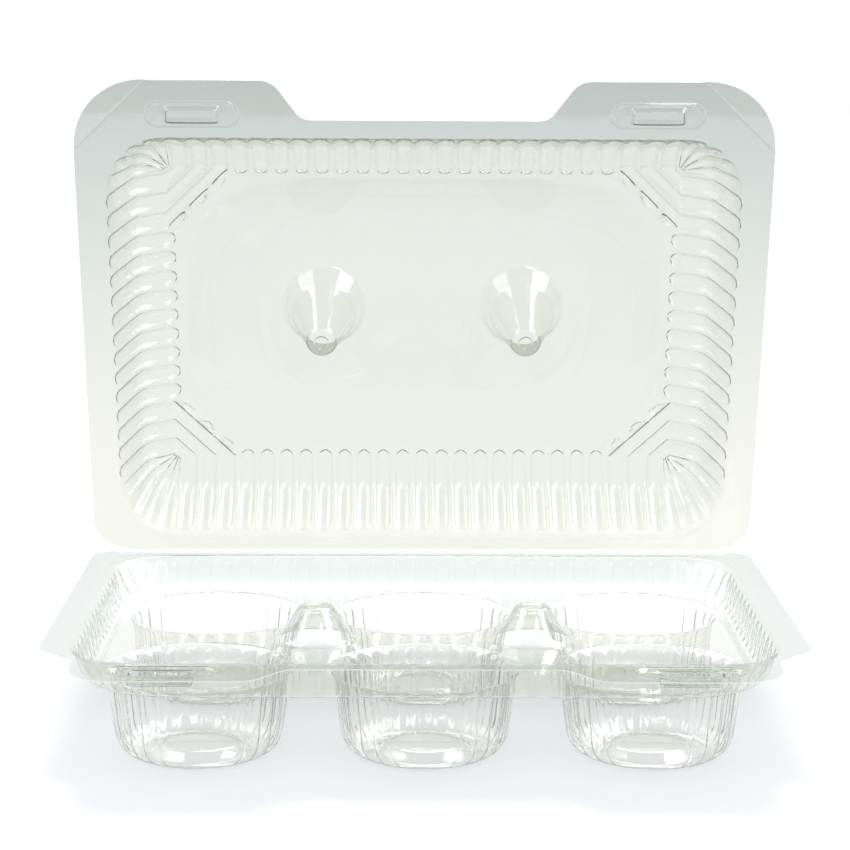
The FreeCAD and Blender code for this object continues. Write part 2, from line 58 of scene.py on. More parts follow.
def clear_pet(name, thin_tint, darker_tint, slant_shade_tint, roughness):
    """Clear plastic: a refracting shell, tinted by a share that is mostly how thick the sheet
    stayed, with painted shade in it on the tray's back wall, and darkened at a slant, partly for
    the longer path through the sheet and partly as painted shade on flute walls and edges.
    """
    material = bpy.data.materials.new(name)
    material.use_nodes = True
    nodes, links = material.node_tree.nodes, material.node_tree.links
    shader = nodes["Principled BSDF"]
    shader.inputs["Transmission Weight"].default_value = 1.0
    shader.inputs["IOR"].default_value = 1.45
    # The share is mostly the sheet's thickness; on the tray's back wall it also carries painted
    # shade.
    tint_share = nodes.new("ShaderNodeAttribute")
    tint_share.attribute_name = "thickness"
    tint = nodes.new("ShaderNodeMix")
    tint.data_type = "RGBA"
    tint.inputs[6].default_value = (*thin_tint, 1)
    tint.inputs[7].default_value = (*darker_tint, 1)
    links.new(tint_share.outputs["Fac"], tint.inputs[0])
    # Painted shade at slants: the colour darkens where the sheet turns away from the view, partly
    # for its longer path, partly in place of the dark surround seen in slopes and edges.
    slant = nodes.new("ShaderNodeLayerWeight")
    slant.inputs["Blend"].default_value = SLANT_SHADE_BLEND
    slant_shaded = nodes.new("ShaderNodeMix")
    slant_shaded.data_type = "RGBA"
    slant_shaded.blend_type = "MULTIPLY"
    slant_shaded.inputs[7].default_value = (*slant_shade_tint, 1)
    links.new(slant.outputs["Facing"], slant_shaded.inputs[0])
    links.new(tint.outputs[2], slant_shaded.inputs[6])
    links.new(slant_shaded.outputs[2], shader.inputs["Base Color"])
    place = nodes.new("ShaderNodeTexCoord")
    haze = nodes.new("ShaderNodeTexNoise")
    haze.inputs["Scale"].default_value = HAZE_SCALE
    haze.inputs["Detail"].default_value = HAZE_DETAIL
    spread = nodes.new("ShaderNodeMapRange")
    spread.inputs["To Min"].default_value = roughness
    spread.inputs["To Max"].default_value = roughness * HAZE_SPREAD
    links.new(place.outputs["Object"], haze.inputs["Vector"])
    links.new(haze.outputs["Fac"], spread.inputs["Value"])
    links.new(spread.outputs["Result"], shader.inputs["Roughness"])
    ray = nodes.new("ShaderNodeLightPath")
    passing = nodes.new("ShaderNodeBsdfTransparent")
    passing.inputs["Color"].default_value = (*SHADE_PASSED, 1)
    shadow = nodes.new("ShaderNodeMixShader")
    links.new(ray.outputs["Is Shadow Ray"], shadow.inputs[0])
    links.new(shader.outputs[0], shadow.inputs[1])
    links.new(passing.outputs[0], shadow.inputs[2])
    links.new(shadow.outputs[0], nodes["Material Output"].inputs["Surface"])
    return material


# The third colour is the painted shade at slants.
pet_tray = clear_pet("clear PET, tray", (0.982, 0.985, 0.968), (0.7, 0.75, 0.7),
                     (0.96, 0.975, 0.965), 0.02)

# The cut edge is matt; its emission is painted light, a glow in place of the light that the sheet
# carries to its edge
EDGE_COLOUR, EDGE_ROUGHNESS, EDGE_PAINTED_GLOW = (0.74, 0.81, 0.78), 0.4, 0.4
pet_edge = bpy.data.materials.new("cut PET edge")
pet_edge.use_nodes = True
edge_shader = pet_edge.node_tree.nodes["Principled BSDF"]
edge_shader.inputs["Base Color"].default_value = (*EDGE_COLOUR, 1)
edge_shader.inputs["Roughness"].default_value = EDGE_ROUGHNESS
edge_shader.inputs["Emission Color"].default_value = (*EDGE_COLOUR, 1)
edge_shader.inputs["Emission Strength"].default_value = EDGE_PAINTED_GLOW

STEPS_PER_MM = 2000
SHARP_BEND = math.radians(50)


def welded(name, patches, place, upward, thickness, sheet):
    """One closed wall from patches of (points, faces); points on a shared edge become one.

    The patches are the side of the sheet that upward points to, and the wall lies behind them.
    """
    points = np.concatenate([p for p, _ in patches])
    starts = np.cumsum([0] + [len(p) for p, _ in patches[:-1]])
    _, first, index = np.unique(np.round(points * STEPS_PER_MM).astype(np.int64), axis=0,
                                return_index=True, return_inverse=True)
    index = index.reshape(-1)
    faces = []
    for start, (_, corners) in zip(starts, patches):
        corners = index[corners + start]
        distinct = np.all(corners != np.roll(corners, 1, axis=1), axis=1)
        faces += corners[distinct].tolist()
    mesh = bpy.data.meshes.new(name)
    mesh.from_pydata(place(points[first]).tolist(), [], faces)
    shell = bmesh.new()
    shell.from_mesh(mesh)
    bmesh.ops.recalc_face_normals(shell, faces=shell.faces)
    widest = max(shell.faces, key=lambda face: face.calc_area())
    if widest.normal.dot(Vector(upward)) < 0:
        bmesh.ops.reverse_faces(shell, faces=shell.faces)
    shell.to_mesh(mesh)
    shell.free()
    # This share is mostly the sheet's thickness; on the tray's back wall by the hinge it also
    # carries painted shade.
    shares = mesh.attributes.new("thickness", "FLOAT", "POINT")
    shares.data.foreach_set("value", thickness(points[first]))
    mesh.materials.append(sheet)
    mesh.materials.append(pet_edge)
    made = bpy.data.objects.new(name, mesh)
    bpy.context.scene.collection.objects.link(made)
    wall = made.modifiers.new("sheet wall", "SOLIDIFY")
    wall.thickness = SHEET_WALL / 1000
    wall.offset = -1
    wall.material_offset_rim = 1
    ready = made.evaluated_get(bpy.context.evaluated_depsgraph_get())
    both = bpy.data.meshes.new_from_object(ready)
    made.modifiers.clear()
    made.data = both
    both.polygons.foreach_set("use_smooth", np.ones(len(both.polygons), bool))
    both.set_sharp_from_angle(angle=SHARP_BEND)
    return made


def skin(rows):
    """Points and faces between closed rows of points; rows has the shape (rows, points, 3)."""
    count, length = rows.shape[:2]
    low = np.arange(count - 1)[:, None] * length + np.arange(length)[None, :]
    ahead = np.arange(count - 1)[:, None] * length + (np.arange(length)[None, :] + 1) % length
    quads = np.stack([low, ahead, ahead + length, low + length], axis=-1)
    return rows.reshape(-1, 3), quads.reshape(-1, 4)


def filled(loops, inner=None):
    """A sheet inside the first loop and outside the others, by even-odd count of crossings."""
    flat = [loop[:, :2] for loop in loops]
    edges = []
    start = 0
    for loop in flat:
        spots = np.arange(len(loop)) + start
        edges += np.stack([spots, np.roll(spots, -1)], axis=1).tolist()
        start += len(loop)
    points = np.concatenate(list(loops) + ([inner] if inner is not None else []))
    found = delaunay_2d_cdt([Vector(p) for p in points[:, :2].tolist()], edges, [], 1, 1e-7)
    corners = np.array(found[2])
    spots = np.array([tuple(p) for p in found[0]])
    origin = np.array([came[0] if came else -1 for came in found[3]])
    middle = spots[corners].mean(axis=1)
    inside = np.zeros(len(middle), int)
    for loop in flat:
        a, b = loop, np.roll(loop, -1, axis=0)
        spans = ((a[:, 1][None] > middle[:, 1][:, None])
                 != (b[:, 1][None] > middle[:, 1][:, None]))
        rise = np.where(b[:, 1] == a[:, 1], 1, b[:, 1] - a[:, 1])
        cross = a[:, 0] + (middle[:, 1][:, None] - a[:, 1]) * ((b[:, 0] - a[:, 0]) / rise)
        inside += np.sum(spans & (middle[:, 0][:, None] < cross), axis=1)
    return points, origin[corners[inside % 2 == 1]]


TRAY_FACE = -0.15
MOUTH_HALF = (151.2, 103.0)
MOUTH_CORNER = 27.0
MOUTH_CENTRE = 113.6
LONG_FLUTES, SHORT_FLUTES, CORNER_FLUTES = 25, 15, 4
CORNER_FLUTE_DEPTH = 0.55
FLUTE_SHARES = np.array([0, 0.045, 0.1, 0.17, 0.27, 0.5, 0.73, 0.83, 0.9, 0.955])


def mouth_path():
    """Points round the mouth, the way out at each, its share across a flute (0 is a ridge), and
    how deep the flutes are there: full on the straight sides, shallow round the corners.

    Straight sides and quarter circles are each divided into a whole number of flutes.
    """
    x, y = MOUTH_HALF[0] - MOUTH_CORNER, MOUTH_HALF[1] - MOUTH_CORNER
    spots, ways, shares, depths = [], [], [], []
    for quarter in range(4):
        turn = math.radians(90 * quarter)
        out = np.array([math.cos(turn), math.sin(turn)])
        along = np.array([-out[1], out[0]])
        short = quarter % 2 == 0
        half, reach = (y, MOUTH_HALF[0]) if short else (x, MOUTH_HALF[1])
        count = SHORT_FLUTES if short else LONG_FLUTES
        t = ((np.arange(count)[:, None] + FLUTE_SHARES[None]) / count).reshape(-1)
        spots.append(out * reach + along * ((2 * t - 1) * half)[:, None])
        ways.append(np.tile(out, (len(t), 1)))
        t = ((np.arange(CORNER_FLUTES)[:, None] + FLUTE_SHARES[None]) / CORNER_FLUTES).reshape(-1)
        angle = turn + t * math.pi / 2
        way = np.stack([np.cos(angle), np.sin(angle)], axis=1)
        spots.append(out * (reach - MOUTH_CORNER) + along * half + way * MOUTH_CORNER)
        ways.append(way)
        shares += [FLUTE_SHARES] * (count + CORNER_FLUTES)
        depths += [np.ones(count * len(FLUTE_SHARES)), np.ones(len(t)) * CORNER_FLUTE_DEPTH]
    return tuple(np.concatenate(found) for found in (spots, ways, shares, depths))


CHANNEL_WIDTH, CHANNEL_SIDE, CHANNEL_BOW = 0.91, 0.6, 0.2


def arch(share, width=1.0):
    """How deep a channel is across its share of the pitch: a soft arch between narrow ridges.

    Each side is a smooth step, with a little of a parabola added. width is the part of its full
    width that a channel has here: it shrinks at the round ends.
    """
    width = np.broadcast_to(np.maximum(width, 1e-6), np.broadcast(share, width).shape)
    off = np.minimum(np.abs(2 * share - 1) / (CHANNEL_WIDTH * width), 1)
    side = np.clip((1 - off) / CHANNEL_SIDE, 0, 1)
    step = (1 - CHANNEL_BOW) * side * side * (3 - 2 * side)
    return (step + CHANNEL_BOW * (1 - off * off)) * width ** 0.4


def round_path(centre, radius, count):
    """Points round a circle."""
    angle = np.arange(count) * 2 * math.pi / count
    return np.stack([centre[0] + radius * np.cos(angle), centre[1] + radius * np.sin(angle)],
                    axis=1)


def level(path, height):
    """A path with a height for every point."""
    return np.column_stack([path, np.broadcast_to(height, len(path))])


def rounded_outline(corners):
    """An outline from (x, reach, radius) corners, each replaced by an arc of short steps."""
    found = []
    spots = np.array([c[:2] for c in corners], float)
    share = np.linspace(0, 1, 14)[:, None]
    for i, (_, _, radius) in enumerate(corners):
        before = spots[i - 1] - spots[i]
        after = spots[(i + 1) % len(spots)] - spots[i]
        before /= np.linalg.norm(before)
        after /= np.linalg.norm(after)
        half = math.acos(np.clip(before @ after, -1, 1)) / 2
        inward = (before + after) / np.linalg.norm(before + after)
        middle = spots[i] + inward * radius / math.sin(half)
        first = spots[i] + before * radius / math.tan(half) - middle
        last = spots[i] + after * radius / math.tan(half) - middle
        sweep = math.pi - 2 * half
        arc = np.sin((1 - share) * sweep) * first + np.sin(share * sweep) * last
        found.append(middle + arc / math.sin(sweep))
    return np.concatenate(found)


def mirrored(half):
    """Corners of one half, then those of the other half on the way back."""
    return half + [(-x, reach, radius) for x, reach, radius in reversed(half)]


def round_ended(centre, length, width, count=64):
    """A round-ended shape along x, with evenly turned points."""
    angle = (np.arange(count) + 0.5) * 2 * math.pi / count
    x = np.cos(angle) * width / 2 + np.sign(np.cos(angle)) * (length - width) / 2
    return np.stack([centre[0] + x, centre[1] + np.sin(angle) * width / 2], axis=1)


# Latch rings from the outside in: length, width, share of the way down
LATCH_SPOT = (109, 229)
PAD_RINGS = [(45.4, 13.8, 0), (44.6, 13.0, 0.06), (43.7, 12.1, 0.35), (42.9, 11.3, 0.75),
             (42.1, 10.5, 0.96), (41.3, 9.9, 1)]
BUTTON_RINGS = [(27.0, 9.8, 0), (26.2, 9.0, 0.04), (25.6, 8.4, 0.2), (23.6, 6.8, 0.88),
                (22.8, 6.0, 0.98), (21.8, 5.2, 1)]
BUTTON_SQUARENESS = 9


def latch(side, face, grow, pad_depth, button_depth):
    """Pad and button of a latch pressed down out of a flange: its outer edge and its patches.

    The pad is round-ended. The button is an oblong |u|^9 + |v|^9 = 1 with sloped sides.
    """
    centre = np.array([side * LATCH_SPOT[0], LATCH_SPOT[1] - MOUTH_CENTRE])

    def ring(length, width, depth, squareness=None):
        path = round_ended(centre, length + 2 * grow, width + 2 * grow)
        if squareness is not None:
            half = [length / 2 + grow, width / 2 + grow]
            spot = (path - centre) / half
            power = (np.abs(spot) ** squareness).sum(axis=1) ** (1 / squareness)
            path = centre + spot / power[:, None] * half
        return level(path, face - depth)

    rise = button_depth - pad_depth
    pad = np.stack([ring(length, width, share * pad_depth) for length, width, share in PAD_RINGS])
    button = np.stack([ring(length, width, pad_depth + share * rise, BUTTON_SQUARENESS)
                       for length, width, share in BUTTON_RINGS])
    return pad[0], [skin(pad), filled([pad[-1], button[0]]), skin(button), filled([button[-1]])]


mouth, mouth_way, flute_share, flute_part = mouth_path()

# Trough wall: depth below the flange, inset of the ridges, of the channels, and channel width
TROUGH_PROFILE = np.array([
    (0.0, -1.2, -1.2, 0), (0.0, -0.6, -0.6, 0), (0.2, -0.1, -0.1, 0), (0.6, 0.4, 0.35, 0.25),
    (1.1, 0.9, 0.4, 0.55), (1.9, 1.6, 0.45, 0.78), (3.0, 2.4, 0.5, 0.93), (4.4, 2.9, 0.65, 1),
    (7.0, 3.3, 1.1, 1), (10.0, 3.9, 1.6, 1), (12.6, 4.3, 2.1, 1), (14.0, 4.6, 2.7, 0.95),
    (15.0, 4.9, 3.6, 0.85), (15.6, 5.2, 4.5, 0.7), (15.9, 5.5, 5.3, 0.4), (16.0, 6.0, 6.0, 0),
    (16.0, 6.8, 6.8, 0)])
TROUGH_DEPTH = 16.0
DECK_CORNER = 38.0


def trough_wall():
    """Rows down the wall: each point's inset lies between ridge and channel by the arch.

    Further down, a row's corners have a larger radius than the mouth's, so they lie further in.
    """
    depth, ridge, channel, width = TROUGH_PROFILE.T[:, :, None]
    down = np.clip(depth, 0, TROUGH_DEPTH) / TROUGH_DEPTH
    radius = MOUTH_CORNER + (DECK_CORNER - MOUTH_CORNER) * down
    across = np.abs(mouth_way)[None]
    past = np.abs(mouth)[None] - (np.array(MOUTH_HALF)[None, None] - (ridge + radius)[:, :, None])
    along = (past * across).sum(axis=2)
    chord = np.maximum(along ** 2 - (past ** 2).sum(axis=2) + radius ** 2, 0)
    in_corner = np.min(past - ridge[:, :, None] * across, axis=2) > 0
    full = arch(flute_share[None], width) * flute_part[None]
    inset = np.where(in_corner, along - np.sqrt(chord), ridge) - (ridge - channel) * full
    path = mouth[None] - mouth_way[None] * inset[:, :, None]
    height = np.broadcast_to(TRAY_FACE - depth, inset.shape)
    return np.concatenate([path, height[:, :, None]], axis=2)


# Cup wall: depth below the deck, radius of the ridges, of the channels, and channel width
CUP_FLUTES = 28
CUP_SHARES = np.array([0, 0.1, 0.22, 0.4, 0.6, 0.78, 0.9])
CUP_PITCH = 99.4
CUP_PROFILE = np.array([
    (0.0, 42.6, 42.6, 0), (0.0, 42.0, 42.0, 0), (0.3, 41.3, 41.3, 0), (0.8, 40.6, 40.8, 0.4),
    (1.7, 39.5, 40.4, 0.7), (2.8, 38.5, 39.8, 0.9), (3.8, 37.9, 39.4, 1), (5.5, 37.6, 39.1, 1),
    (14.0, 36.7, 38.3, 1), (23.0, 35.7, 37.3, 1), (29.0, 34.9, 36.4, 1), (31.6, 34.1, 35.6, 0.95),
    (33.8, 32.8, 34.2, 0.85), (35.6, 31.2, 32.3, 0.65), (36.8, 29.5, 30.1, 0.4),
    (37.4, 27.8, 28.0, 0.1), (37.5, 26.8, 26.8, 0), (37.5, 22.8, 22.8, 0), (37.2, 21.8, 21.8, 0),
    (36.0, 20.3, 20.3, 0), (34.3, 18.2, 18.2, 0), (33.6, 16.6, 16.6, 0), (33.5, 15.0, 15.0, 0)])

# Peak: radius, height over the deck
PEAK_PROFILE = np.array([
    (20.4, 0.0), (19.4, 0.05), (18.3, 0.4), (17.1, 1.4), (15.8, 3.1), (14.4, 5.2), (12.9, 7.6),
    (11.2, 10.3), (9.5, 12.9), (8.3, 14.75), (7.9, 15.3), (7.4, 15.65), (6.8, 15.75), (6.0, 15.75),
    (5.4, 15.6), (4.8, 15.3), (3.0, 15.2)])
DECK = TRAY_FACE - TROUGH_DEPTH


def cup_rows(centre):
    """Rows down a cup: the radius lies between ridge and channel by the arch across each flute."""
    share = np.tile(CUP_SHARES, CUP_FLUTES)
    flute = (np.arange(CUP_FLUTES)[:, None] + CUP_SHARES[None]).reshape(-1)
    angle = flute * 2 * math.pi / CUP_FLUTES
    depth, ridge, channel, width = CUP_PROFILE.T[:, :, None]
    radius = ridge + (channel - ridge) * arch(share[None], width)
    return np.stack([centre[0] + radius * np.cos(angle), centre[1] + radius * np.sin(angle),
                     np.broadcast_to(DECK - depth, radius.shape)], axis=2)


def lathe(centre, profile, base, count=72):
    """Rows of circles of the profile's radii at its heights over base."""
    return np.stack([level(round_path(centre, radius, count), base + height)
                     for radius, height in profile])


trough = trough_wall()
tray_patches = [skin(trough)]
deck_loops = [trough[-1]]
for column in (-1, 0, 1):
    for row in (-1, 1):
        cup = cup_rows((column * CUP_PITCH, row * CUP_PITCH / 2))
        tray_patches += [skin(cup), filled([cup[-1]])]
        deck_loops.append(cup[0])
for side in (-1, 1):
    peak = lathe((side * CUP_PITCH / 2, 0), PEAK_PROFILE, DECK)
    tray_patches += [skin(peak), filled([peak[-1]])]
    deck_loops.append(peak[0])
tray_patches.append(filled(deck_loops))

# Outline corners: x, reach from the fold, radius
TAB_END = [(72, 245, 11), (58, 226, 9)]
TRAY_SIDE = [(165, 0.45, 12), (165, 193, 8), (148.4, 211, 2), (146.5, 245, 21)]
TRAY_PAD_GROWS, TRAY_PAD_DEPTH, TRAY_BUTTON_DEPTH = 0.6, 1.2, 5.4

tray_edge = rounded_outline(mirrored(TRAY_SIDE + TAB_END))
flange_loops = [level(tray_edge - [0, MOUTH_CENTRE], TRAY_FACE), trough[0]]
for side in (-1, 1):
    edge, patches = latch(side, TRAY_FACE, TRAY_PAD_GROWS, TRAY_PAD_DEPTH, TRAY_BUTTON_DEPTH)
    flange_loops.append(edge)
    tray_patches += patches
tray_patches.append(filled(flange_loops))

hinge = frame["joints"][0]["pos_m"]


def tray_place(points):
    """From (x, reach from the mouth's centre, height over the hinge) in mm to metres."""
    placed = np.column_stack([points[:, 0], -(points[:, 1] + MOUTH_CENTRE), points[:, 2]])
    return placed / 1000 + hinge


DRAWN_DEPTH = 15
# Painted shade: the back wall by the hinge takes a darker tint, for the lid's shadow on the floor
# seen through it.
FLANGE_SHARE, BACK_WALL_SHADE = 0.42, 0.62
BACK_FROM, BACK_OVER = 80, 20


def tray_thickness_and_shade(points):
    """Share of the darker tint: the sheet's own thickness, most on the flange and none in the cups,
    and painted shade on the back wall by the hinge.
    """
    drawn = np.clip((TRAY_FACE - points[:, 2]) / DRAWN_DEPTH, 0, 1)
    near_hinge = np.clip((-points[:, 1] - BACK_FROM) / BACK_OVER, 0, 1)
    return np.maximum(FLANGE_SHARE * (1 - drawn) ** 1.5,
                      BACK_WALL_SHADE * near_hinge * (1 - drawn ** 4))


tray = welded("tray_shell", tray_patches, tray_place, (0, 0, 1), tray_thickness_and_shade, pet_tray)
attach(tray, "base")
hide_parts("base_tray")


# ---- The fold ------------------------------------------------------------------------------
# The fold between tray and lid is a thin raised bead with rounded ends, pressed into the same
# clear PET sheet. It lies on the hinge line, and stays with the tray.

BEAD_RADIUS = 0.85
BEAD_HALF = 155.0
BEAD_TIP = 0.02
BEAD_STEPS, BEAD_AROUND = 6, 16


def bead_rows():
    """Circles along x: full radius in the middle, closing in a quarter circle at each end."""
    turn = np.linspace(0, math.pi / 2, BEAD_STEPS)
    x = np.concatenate([-BEAD_HALF + BEAD_RADIUS * (1 - np.sin(turn[::-1])),
                        BEAD_HALF - BEAD_RADIUS * (1 - np.sin(turn))])
    share = np.concatenate([np.cos(turn[::-1]), np.cos(turn)])
    radius = BEAD_RADIUS * np.maximum(share, BEAD_TIP)
    angle = np.arange(BEAD_AROUND) * 2 * math.pi / BEAD_AROUND
    return np.stack([np.broadcast_to(x[:, None], (2 * BEAD_STEPS, BEAD_AROUND)),
                     radius[:, None] * np.cos(angle), radius[:, None] * np.sin(angle)], axis=2)


points, faces = skin(bead_rows())
mesh = bpy.data.meshes.new("hinge_bead")
ends = [list(range(BEAD_AROUND))[::-1], list(range(len(points) - BEAD_AROUND, len(points)))]
mesh.from_pydata((points / 1000 + hinge).tolist(), [], faces.tolist() + ends)
shell = bmesh.new()
shell.from_mesh(mesh)
bmesh.ops.recalc_face_normals(shell, faces=shell.faces)
shell.to_mesh(mesh)
shell.free()
mesh.polygons.foreach_set("use_smooth", np.ones(len(mesh.polygons), bool))
mesh.materials.append(pet_tray)
bead = bpy.data.objects.new("hinge_bead", mesh)
bpy.context.scene.collection.objects.link(bead)
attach(bead, "base")


# ---- The lid -------------------------------------------------------------------------------
# The upper half of the clear PET sheet, swung open on the fold: a flange with two tabs, lifted
# front corners and two latch buttons, and a dome with fluted sides, chevron corners, a crowned
# panel and two posts. Its sizes are those of the shut lid, and lid_place swings it open.

LID_FACE = 0.15
LID_OPENING = math.radians(75.2)

# Dome side: inset, height over the flange, outward and upward push of the channels, their width
DOME_PROFILE = np.array([
    (-1.2, 0.0, 0, 0, 0), (-0.6, 0.0, 0, 0, 0), (-0.1, 0.2, 0, 0, 0), (0.4, 0.6, 0.2, 0, 0.25),
    (0.9, 1.1, 0.7, 0, 0.55), (1.6, 1.9, 1.3, 0, 0.78), (2.4, 3.0, 1.9, 0, 0.93),
    (3.2, 4.6, 2.2, 0, 1), (4.6, 9.0, 2.2, 0, 1), (6.4, 14.2, 2.2, 0.2, 1),
    (8.2, 19.4, 2.1, 0.5, 1), (9.8, 23.8, 2.0, 0.9, 1), (11.0, 26.6, 1.8, 1.3, 1),
    (12.4, 28.5, 1.3, 1.8, 1), (14.4, 30.1, 0.9, 2.0, 1), (17.0, 31.6, 0.5, 2.1, 1),
    (20.0, 33.1, 0.2, 2.2, 1), (22.4, 34.2, 0, 2.2, 1), (24.0, 34.9, 0, 2.2, 1)])


def dome_side():
    """Rows up the dome: a base profile, with the channels pushed outwards and up by the arch."""
    inset, height, out, up, width = DOME_PROFILE.T[:, :, None]
    full = arch(flute_share[None], width) * flute_part[None]
    across = mouth[None] - mouth_way[None] * (inset - out * full)[:, :, None]
    return np.concatenate([across, (LID_FACE + height + up * full)[:, :, None]], axis=2)


# Shoulder: half lengths of the straight sides, flute pitches, and where flutes turn and end
STRAIGHT_HALF = (124.2, 76)
LONG_PITCH, SHORT_PITCH, CHEVRON_PITCH = 9.936, 10.1333, 10.03
LONG_TURN, SHORT_TURN = 77.5, 126.3
TURNING_FROM = (94.4, 45.6)
CHEVRON_LINE = 171.9
CREASE_INSET = 25.5
END_INSET, END_LENGTH = 23, 5.5
FLUTE_DEPTH = 2.2
LEDGE_INSETS, LEDGE_HEIGHTS = [24, 25.5, 28.5, 31.3], [34.9, 35.6, 36.9, 37.6]
CROWN_RISE = 12.9
CROWN_EDGE = (119.9, 71.7, 163.6)
CROWN_FLAT = 0.6


def shoulder_height(x, y):
    """Height of the dome inside its shoulder.

    Flutes run straight in from the long and the short sides. The last three of each side turn
    across the corner at 45 degrees and meet. The others end round at a ledge, inside which the
    crowned panel rises to its flat middle by a parabola of a twelfth-power distance.
    """
    x, y = np.abs(x), np.abs(y)
    short_inset, long_inset, diagonal = MOUTH_HALF[0] - x, MOUTH_HALF[1] - y, x + y
    long_phase = (x + STRAIGHT_HALF[0]) / LONG_PITCH
    short_phase = (y + STRAIGHT_HALF[1]) / SHORT_PITCH
    corner_phase = ((diagonal - LONG_TURN + STRAIGHT_HALF[0]) / LONG_PITCH - 10
                    + (diagonal - SHORT_TURN + STRAIGHT_HALF[1]) / SHORT_PITCH) / 2
    by_long = (y > LONG_TURN) & (x <= STRAIGHT_HALF[0])
    by_short = (x > SHORT_TURN) & ~by_long
    across = ~by_long & ~by_short & (diagonal > CHEVRON_LINE)
    crease_inset = CREASE_INSET + (CHEVRON_LINE - diagonal) / math.sqrt(2)
    inset = np.minimum(np.minimum(short_inset, long_inset), crease_inset)
    inset = np.where(by_long, long_inset, np.where(by_short, short_inset,
                                                   np.where(across, CREASE_INSET, inset)))
    phase = np.where(long_inset < short_inset, long_phase, short_phase)
    phase = np.where(by_long, long_phase, np.where(by_short, short_phase,
                                                   np.where(across, corner_phase, phase)))
    turning = (across | (by_long & (x > TURNING_FROM[0]))
               | (by_short & (y > TURNING_FROM[1])))
    past_end = (inset - END_INSET).clip(0) / END_LENGTH
    width = np.where(turning, 1, np.sqrt(np.clip(1 - past_end ** 2, 0, 1)))
    base = np.interp(inset, LEDGE_INSETS, LEDGE_HEIGHTS)
    edge = sum((part / whole) ** 12 for part, whole in zip((x, y, diagonal), CROWN_EDGE))
    off_flat = np.clip((edge ** (1 / 12) - CROWN_FLAT) / (1 - CROWN_FLAT), 0, 1)
    rise = CROWN_RISE * (1 - off_flat ** 2)
    return LID_FACE + base + rise + FLUTE_DEPTH * arch(phase % 1, width)


def beside(long_side, side, along, inset):
    """Points at an inset from a long or a short side of the mouth."""
    reach = MOUTH_HALF[1] if long_side else MOUTH_HALF[0]
    across = np.broadcast_to(side * (reach - inset), along.shape)
    return np.column_stack([along, across] if long_side else [across, along])


# Mesh points of the shoulder: inset and limits of the rows beside the dome's side, then the
# round ends (flutes each way from the middle, pitch, limit) and the grids of corner and panel
SIDE_ROWS = ((24.6, 124, 76), (25.2, 93, 44))
ROUND_ENDS = ((True, 9, LONG_PITCH, 93), (False, 4, SHORT_PITCH, 44))
END_PARTS = (0.5, 0.64, 0.76, 0.87, 0.95, 1.0, 1.06)
END_HALF = 0.455
LEDGE_ROWS, LEDGE_FINE_FROM = (26.2, 27.3, 28.6, 30.0, 31.3, 32.4), 29
CHEVRON_ROWS = np.array([10, 8.3, 7, 5.6, 4.2, 2.8, 1.4])
CHEVRON_STEP, CHEVRON_GAP = 1.4, 0.4
PANEL_STEP, PANEL_LIMITS = 2.4, (117.8, 69.6, CHEVRON_LINE - 11)
POST_CLEAR = 25.3


def shoulder_points():
    """Points for that height: along the flutes at corners and round ends, wider on the panel."""
    long_stations = (np.arange(-12, 13)[:, None] + FLUTE_SHARES - 0.5).reshape(-1) * LONG_PITCH
    short_stations = (np.arange(-7, 8)[:, None] + FLUTE_SHARES - 0.5).reshape(-1) * SHORT_PITCH
    sets = []
    for side in (-1, 1):
        for inset, long_limit, short_limit in SIDE_ROWS:
            near = long_stations[np.abs(long_stations) < long_limit]
            sets.append(beside(True, side, near, inset))
            near = short_stations[np.abs(short_stations) < short_limit]
            sets.append(beside(False, side, near, inset))
        for long_side, count, pitch, limit in ROUND_ENDS:
            turn = np.radians(np.arange(-85, 86, 10))
            for part in END_PARTS:
                inset = END_INSET + END_LENGTH * part * np.cos(turn)
                middles = np.arange(-count, count + 1)[:, None] * pitch
                along = middles + END_HALF * pitch * part * np.sin(turn)
                kept = ((inset > CREASE_INSET) & (np.abs(along) < limit)
                        & (np.abs(part * np.sin(turn)) < 1.02))
                inset = np.broadcast_to(inset, kept.shape)
                sets.append(beside(long_side, side, along[kept], inset[kept]))
            ridges = (np.arange(-count, count + 2) - 0.5) * pitch
            for inset in LEDGE_ROWS:
                fine = inset > LEDGE_FINE_FROM
                near = np.arange(-limit, limit + 0.1, pitch / 4) if fine else ridges
                sets.append(beside(long_side, side, near[np.abs(near) < limit], inset))
    diagonal = (np.arange(0, 4)[:, None] + FLUTE_SHARES).reshape(-1)
    diagonal = np.concatenate([CHEVRON_LINE - CHEVRON_ROWS,
                               CHEVRON_LINE + diagonal * CHEVRON_PITCH])
    p, q = np.meshgrid(diagonal, np.arange(10, 90, CHEVRON_STEP))
    x, y = (p + q).reshape(-1) / 2, (p - q).reshape(-1) / 2
    kept = (x < SHORT_TURN - CHEVRON_GAP) & (y < LONG_TURN - CHEVRON_GAP)
    for x_side in (-1, 1):
        for y_side in (-1, 1):
            sets.append(np.column_stack([x[kept] * x_side, y[kept] * y_side]))
    x, y = (v.reshape(-1) for v in np.meshgrid(np.arange(-120, 120.1, PANEL_STEP),
                                               np.arange(-72, 72.1, PANEL_STEP)))
    kept = ((np.abs(x) + np.abs(y) < PANEL_LIMITS[2]) & (np.abs(x) < PANEL_LIMITS[0])
            & (np.abs(y) < PANEL_LIMITS[1]))
    sets.append(np.column_stack([x[kept], y[kept]]))
    found = np.concatenate(sets)
    clear = np.hypot(np.abs(found[:, 0]) - CUP_PITCH / 2, found[:, 1]) > POST_CLEAR
    found = found[clear]
    return level(found, shoulder_height(found[:, 0], found[:, 1]))


